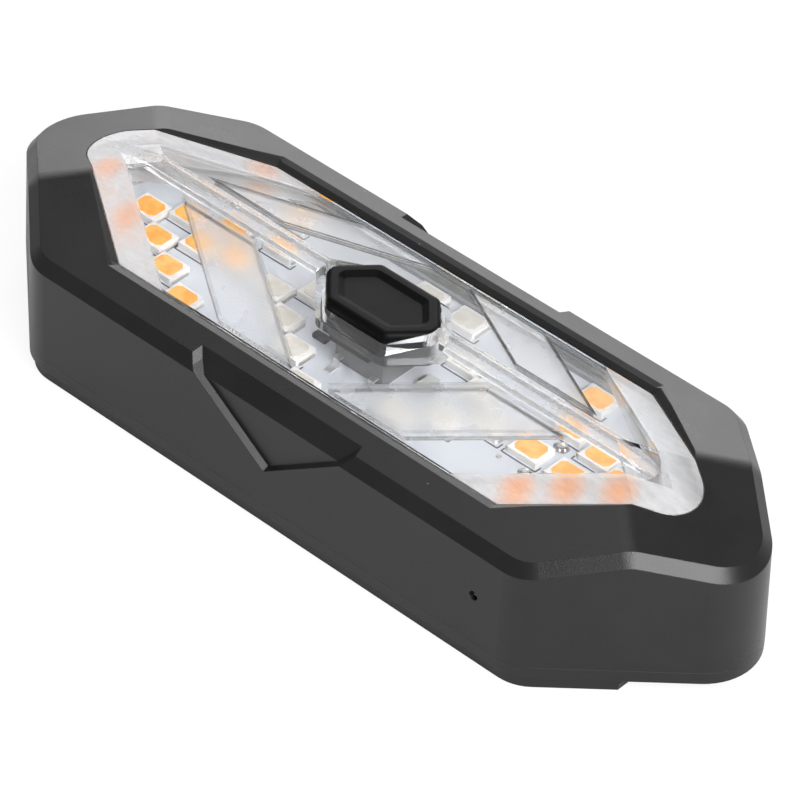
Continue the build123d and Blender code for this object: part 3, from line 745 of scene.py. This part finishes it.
def makeSolder(values, boardValues, metalLook):
    form = bmesh.new()
    for index, (x, y) in enumerate(values["places"]):
        size = Matrix.Diagonal([part * mm for part in values["size"]] + [1.0])
        place = Matrix.Translation((x * mm, y * mm, (boardValues["topZ"] - values["sunk"]) * mm))
        made = bmesh.ops.create_icosphere(form, subdivisions=4, radius=1.0, matrix=place @ size)
        for vert in made["verts"]:
            way = (vert.co - place.translation) / mm
            wave = sin(5.1 * way.x + index) * cos(4.3 * way.y) + 0.6 * sin(7.7 * way.z + way.x * 6)
            vert.co = place.translation + way * mm * (1 + values["lump"] * wave)
    bmesh.ops.bisect_plane(
        form,
        geom=[*form.verts, *form.edges, *form.faces],
        plane_co=(0, 0, boardValues["topZ"] * mm),
        plane_no=(0, 0, 1),
        clear_inner=True,
    )
    bmesh.ops.holes_fill(form, edges=form.edges, sides=0)
    bmesh.ops.recalc_face_normals(form, faces=form.faces)
    piece = finished("solderHeaps", form, metalLook)
    piece.data.polygons.foreach_set("use_smooth", [True] * len(piece.data.polygons))
    piece.data.set_sharp_from_angle(angle=radians(values["crease"]))
    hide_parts("solder_joints")


def solderMask(name, values, color):
    paint = Paint(name, {"Specular IOR Level": 0.5})
    cloud = paint.noise(0.12, 3.0)
    fine = paint.noise(6.0, 2.0)
    return paint.done(
        color=paint.mix(cloud.ramp(0.3, 0.7), shade(color, values["darkest"]), color),
        roughness=0.32 + (fine - 0.5) * 0.12,
        normal=paint.bump(cloud + fine * 0.1, values["trackDepth"]),
    )


def foil(name, tone):
    paint = Paint(name, {"Metallic": 0.9})
    crease = paint.noise(0.5, 5.0, 0.65)
    roughness = 0.34 + (crease - 0.5) * 0.3
    return paint.done(color=grey(tone), roughness=roughness, normal=paint.bump(crease, 0.15))


def ceramicBody(name, color):
    paint = Paint(name, {"Specular IOR Level": 0.5})
    fleck = paint.noise(7.0, 3.0)
    return paint.done(
        color=paint.mix(fleck.ramp(0.4, 0.7), shade(color, 1.0), shade(color, 1.25)),
        roughness=0.3 + (fleck - 0.5) * 0.2,
        normal=paint.bump(fleck, 0.01),
    )


def wireSleeve(name, color):
    paint = Paint(name, {"Specular IOR Level": 0.4})
    fine = paint.noise(4.0, 2.0)
    return paint.done(
        color=paint.mix(fine.ramp(0.35, 0.7), shade(color, 1.0), shade(color, 0.75)),
        roughness=0.42 + (fine - 0.5) * 0.15,
        normal=paint.bump(fine, 0.01),
    )


casingPlastic = mouldedPlastic("casingPlastic", 0.012, 0.3, plastic, 0.5)
coverPlastic = mouldedPlastic("coverPlastic", 0.012, 0.33, plastic, 0.3)
buttonPlastic = mouldedPlastic("buttonPlastic", 0.003, 0.42, dict(plastic, shine=0.12), 0.8)
switchPlastic = mouldedPlastic("switchPlastic", 0.12, 0.45, plastic)
chipEpoxy = mouldedPlastic("chipEpoxy", 0.02, 0.6, plastic)
lampPlastic = mouldedPlastic("lampPlastic", 0.74, 0.4, plastic, 0.0, 0.03)
sealRubber = softRubber("sealRubber", (0.012, 0.012, 0.013), rubber)
flapRubber = softRubber("flapRubber", (0.017, 0.017, 0.018), rubber)
foamRubber = softRubber("foamRubber", (0.05, 0.05, 0.052), rubber)
screwSteel = brushedMetal("screwSteel", 0.52, 0.3, metal)
switchSteel = brushedMetal("switchSteel", 0.62, 0.28, metal)
tinnedCopper = brushedMetal("tinnedCopper", 0.68, 0.3, metal, 0.03)
socketSteel = brushedMetal("socketSteel", 0.6, 0.25, metal)
solderMetal = brushedMetal("solderMetal", 0.66, 0.22, metal)
boardInkAndShadow = softRubber("boardInkAndShadow", (0.05, 0.05, 0.055), rubber)
lensPlastic = clearLens("lensPlastic", lens, lensFinish)
pipePlastic = clearLens("pipePlastic", lens, dict(lensFinish, frost=0.1, bandMilk=0.0))
boardWhite = solderMask("boardWhite", board, board["mask"])
guardGreen = solderMask("guardGreen", board, board["guardMask"])
amberWindow = lampWindow("amberWindow", lamp, True)
paleWindow = lampWindow("paleWindow", lamp, False)

slotMaterials = {
    "casing": casingPlastic,
    "lens": lensPlastic,
    "lens_seal": sealRubber,
    "back_cover": coverPlastic,
    "cover_seal": sealRubber,
    "cover_screws": screwSteel,
    "push_button": buttonPlastic,
    "circuit_board": boardWhite,
    "amber_lamps_left": lampPlastic,
    "amber_lamps_right": lampPlastic,
    "amber_windows_left": amberWindow,
    "amber_windows_right": amberWindow,
    "pale_lamps": lampPlastic,
    "pale_windows": paleWindow,
    "switch_body": switchPlastic,
    "switch_plate": switchSteel,
    "switch_plunger": switchPlastic,
    "switch_legs": brushedMetal("switchTin", 0.86, 0.5, metal),
    "board_resistors": ceramicBody("resistorBody", (0.05, 0.05, 0.055)),
    "board_capacitor": ceramicBody("capacitorBody", (0.42, 0.44, 0.42)),
    "solder_joints": solderMetal,
    "controller_chip": chipEpoxy,
    "controller_legs": tinnedCopper,
    "charging_chip": chipEpoxy,
    "charging_chip_legs": tinnedCopper,
    "battery_pouch": foil("batteryFoil", 0.62),
    "battery_foam": foamRubber,
    "battery_guard_board": guardGreen,
    "battery_lead_red": wireSleeve("leadRed", (0.45, 0.02, 0.02)),
    "battery_lead_black": wireSleeve("leadBlack", (0.015, 0.015, 0.016)),
    "charging_socket": socketSteel,
    "socket_tongue": chipEpoxy,
    "port_flap": flapRubber,
    "port_anchor": flapRubber,
    "indicator_lamp": lampPlastic,
    "indicator_pipe": pipePlastic,
}
for name, material in slotMaterials.items():
    mesh = nodes[name].data
    mesh.materials.clear()
    mesh.materials.append(material)
print("materials done")

lensShell = makeLens(lens, button)
lensShell.data.materials.append(lensPlastic)
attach(lensShell, "light")
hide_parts("lens")
print("lens done")

makePrint(board, lampPlaces, capacitorMarks, boardInkAndShadow, tinnedCopper)
makeVias(board, tinnedCopper)
makeSolder(solder, board, solderMetal)
print("board done")

# The floor shows white to the camera and keeps a share of the object's shadow
studio = {
    "floorTone": 0.8,
    "floorSize": 3.0,
    "floorSunk": 0.02,
    "shadowShare": 0.2,
    "floorWhite": 1.1,
    "worldTone": 0.22,
    "top": {"place": (-0.22, 0.12, 0.75), "size": (0.42, 0.42), "power": 0.6},
    "back": {"place": (-0.52, 0.68, 0.39), "size": (0.75, 0.5), "power": 3.4},
    "card": {"place": (-0.57, 0.82, 0.115), "size": (0.9, 0.21), "power": 0.42},
    "front": {"place": (0.62, -0.28, 0.55), "size": (0.6, 0.6), "power": 9.0},
}


def makeFloor(values):
    paint = Paint("floorPaper", {"Roughness": 0.9})
    fibre = paint.noise(0.4, 3.0)
    tone = values["floorTone"]
    paint.done(color=paint.mix(fibre.ramp(0.3, 0.7), grey(tone * 0.97), grey(tone)))
    white = paint.node("Emission", {}, [(1.0, 1.0, 1.0, 1.0), values["floorWhite"]])
    seen = paint.node("LightPath", {}, {}, "Is Camera Ray") * (1 - values["shadowShare"])
    paper = paint.done(paint.node("MixShader", {}, [seen, paint.surface, white]))
    form = bmesh.new()
    bmesh.ops.create_grid(form, x_segments=1, y_segments=1, size=values["floorSize"])
    bmesh.ops.translate(form, verts=form.verts, vec=(0, 0, -values["floorSunk"] * mm))
    mesh = bpy.data.meshes.new("floor")
    form.to_mesh(mesh)
    form.free()
    mesh.materials.append(paper)
    floor = bpy.data.objects.new("floor", mesh)
    bpy.context.scene.collection.objects.link(floor)


def makeLight(name, values):
    data = bpy.data.lights.new(name, "AREA")
    data.shape = "RECTANGLE"
    data.size, data.size_y = values["size"]
    data.energy = values["power"]
    light = bpy.data.objects.new(name, data)
    place = Vector(values["place"])
    light.location = place
    light.rotation_euler = place.to_track_quat("Z", "Y").to_euler()
    bpy.context.scene.collection.objects.link(light)


def makeWorld(values):
    world = bpy.data.worlds.new("studio")
    world.use_nodes = True
    background = world.node_tree.nodes["Background"]
    path = world.node_tree.nodes.new("ShaderNodeLightPath")
    tone = world.node_tree.nodes.new("ShaderNodeMapRange")
    tone.inputs["To Min"].default_value = values["worldTone"]
    tone.inputs["To Max"].default_value = 1.0
    world.node_tree.links.new(path.outputs["Is Camera Ray"], tone.inputs["Value"])
    world.node_tree.links.new(tone.outputs[0], background.inputs["Strength"])
    background.inputs["Color"].default_value = (1.0, 1.0, 1.0, 1.0)
    bpy.context.scene.world = world


makeFloor(studio)
makeWorld(studio)
for name in ("top", "back", "front", "card"):
    makeLight(name + "Light", studio[name])
bpy.context.scene.view_settings.view_transform = "Standard"
print("studio done")
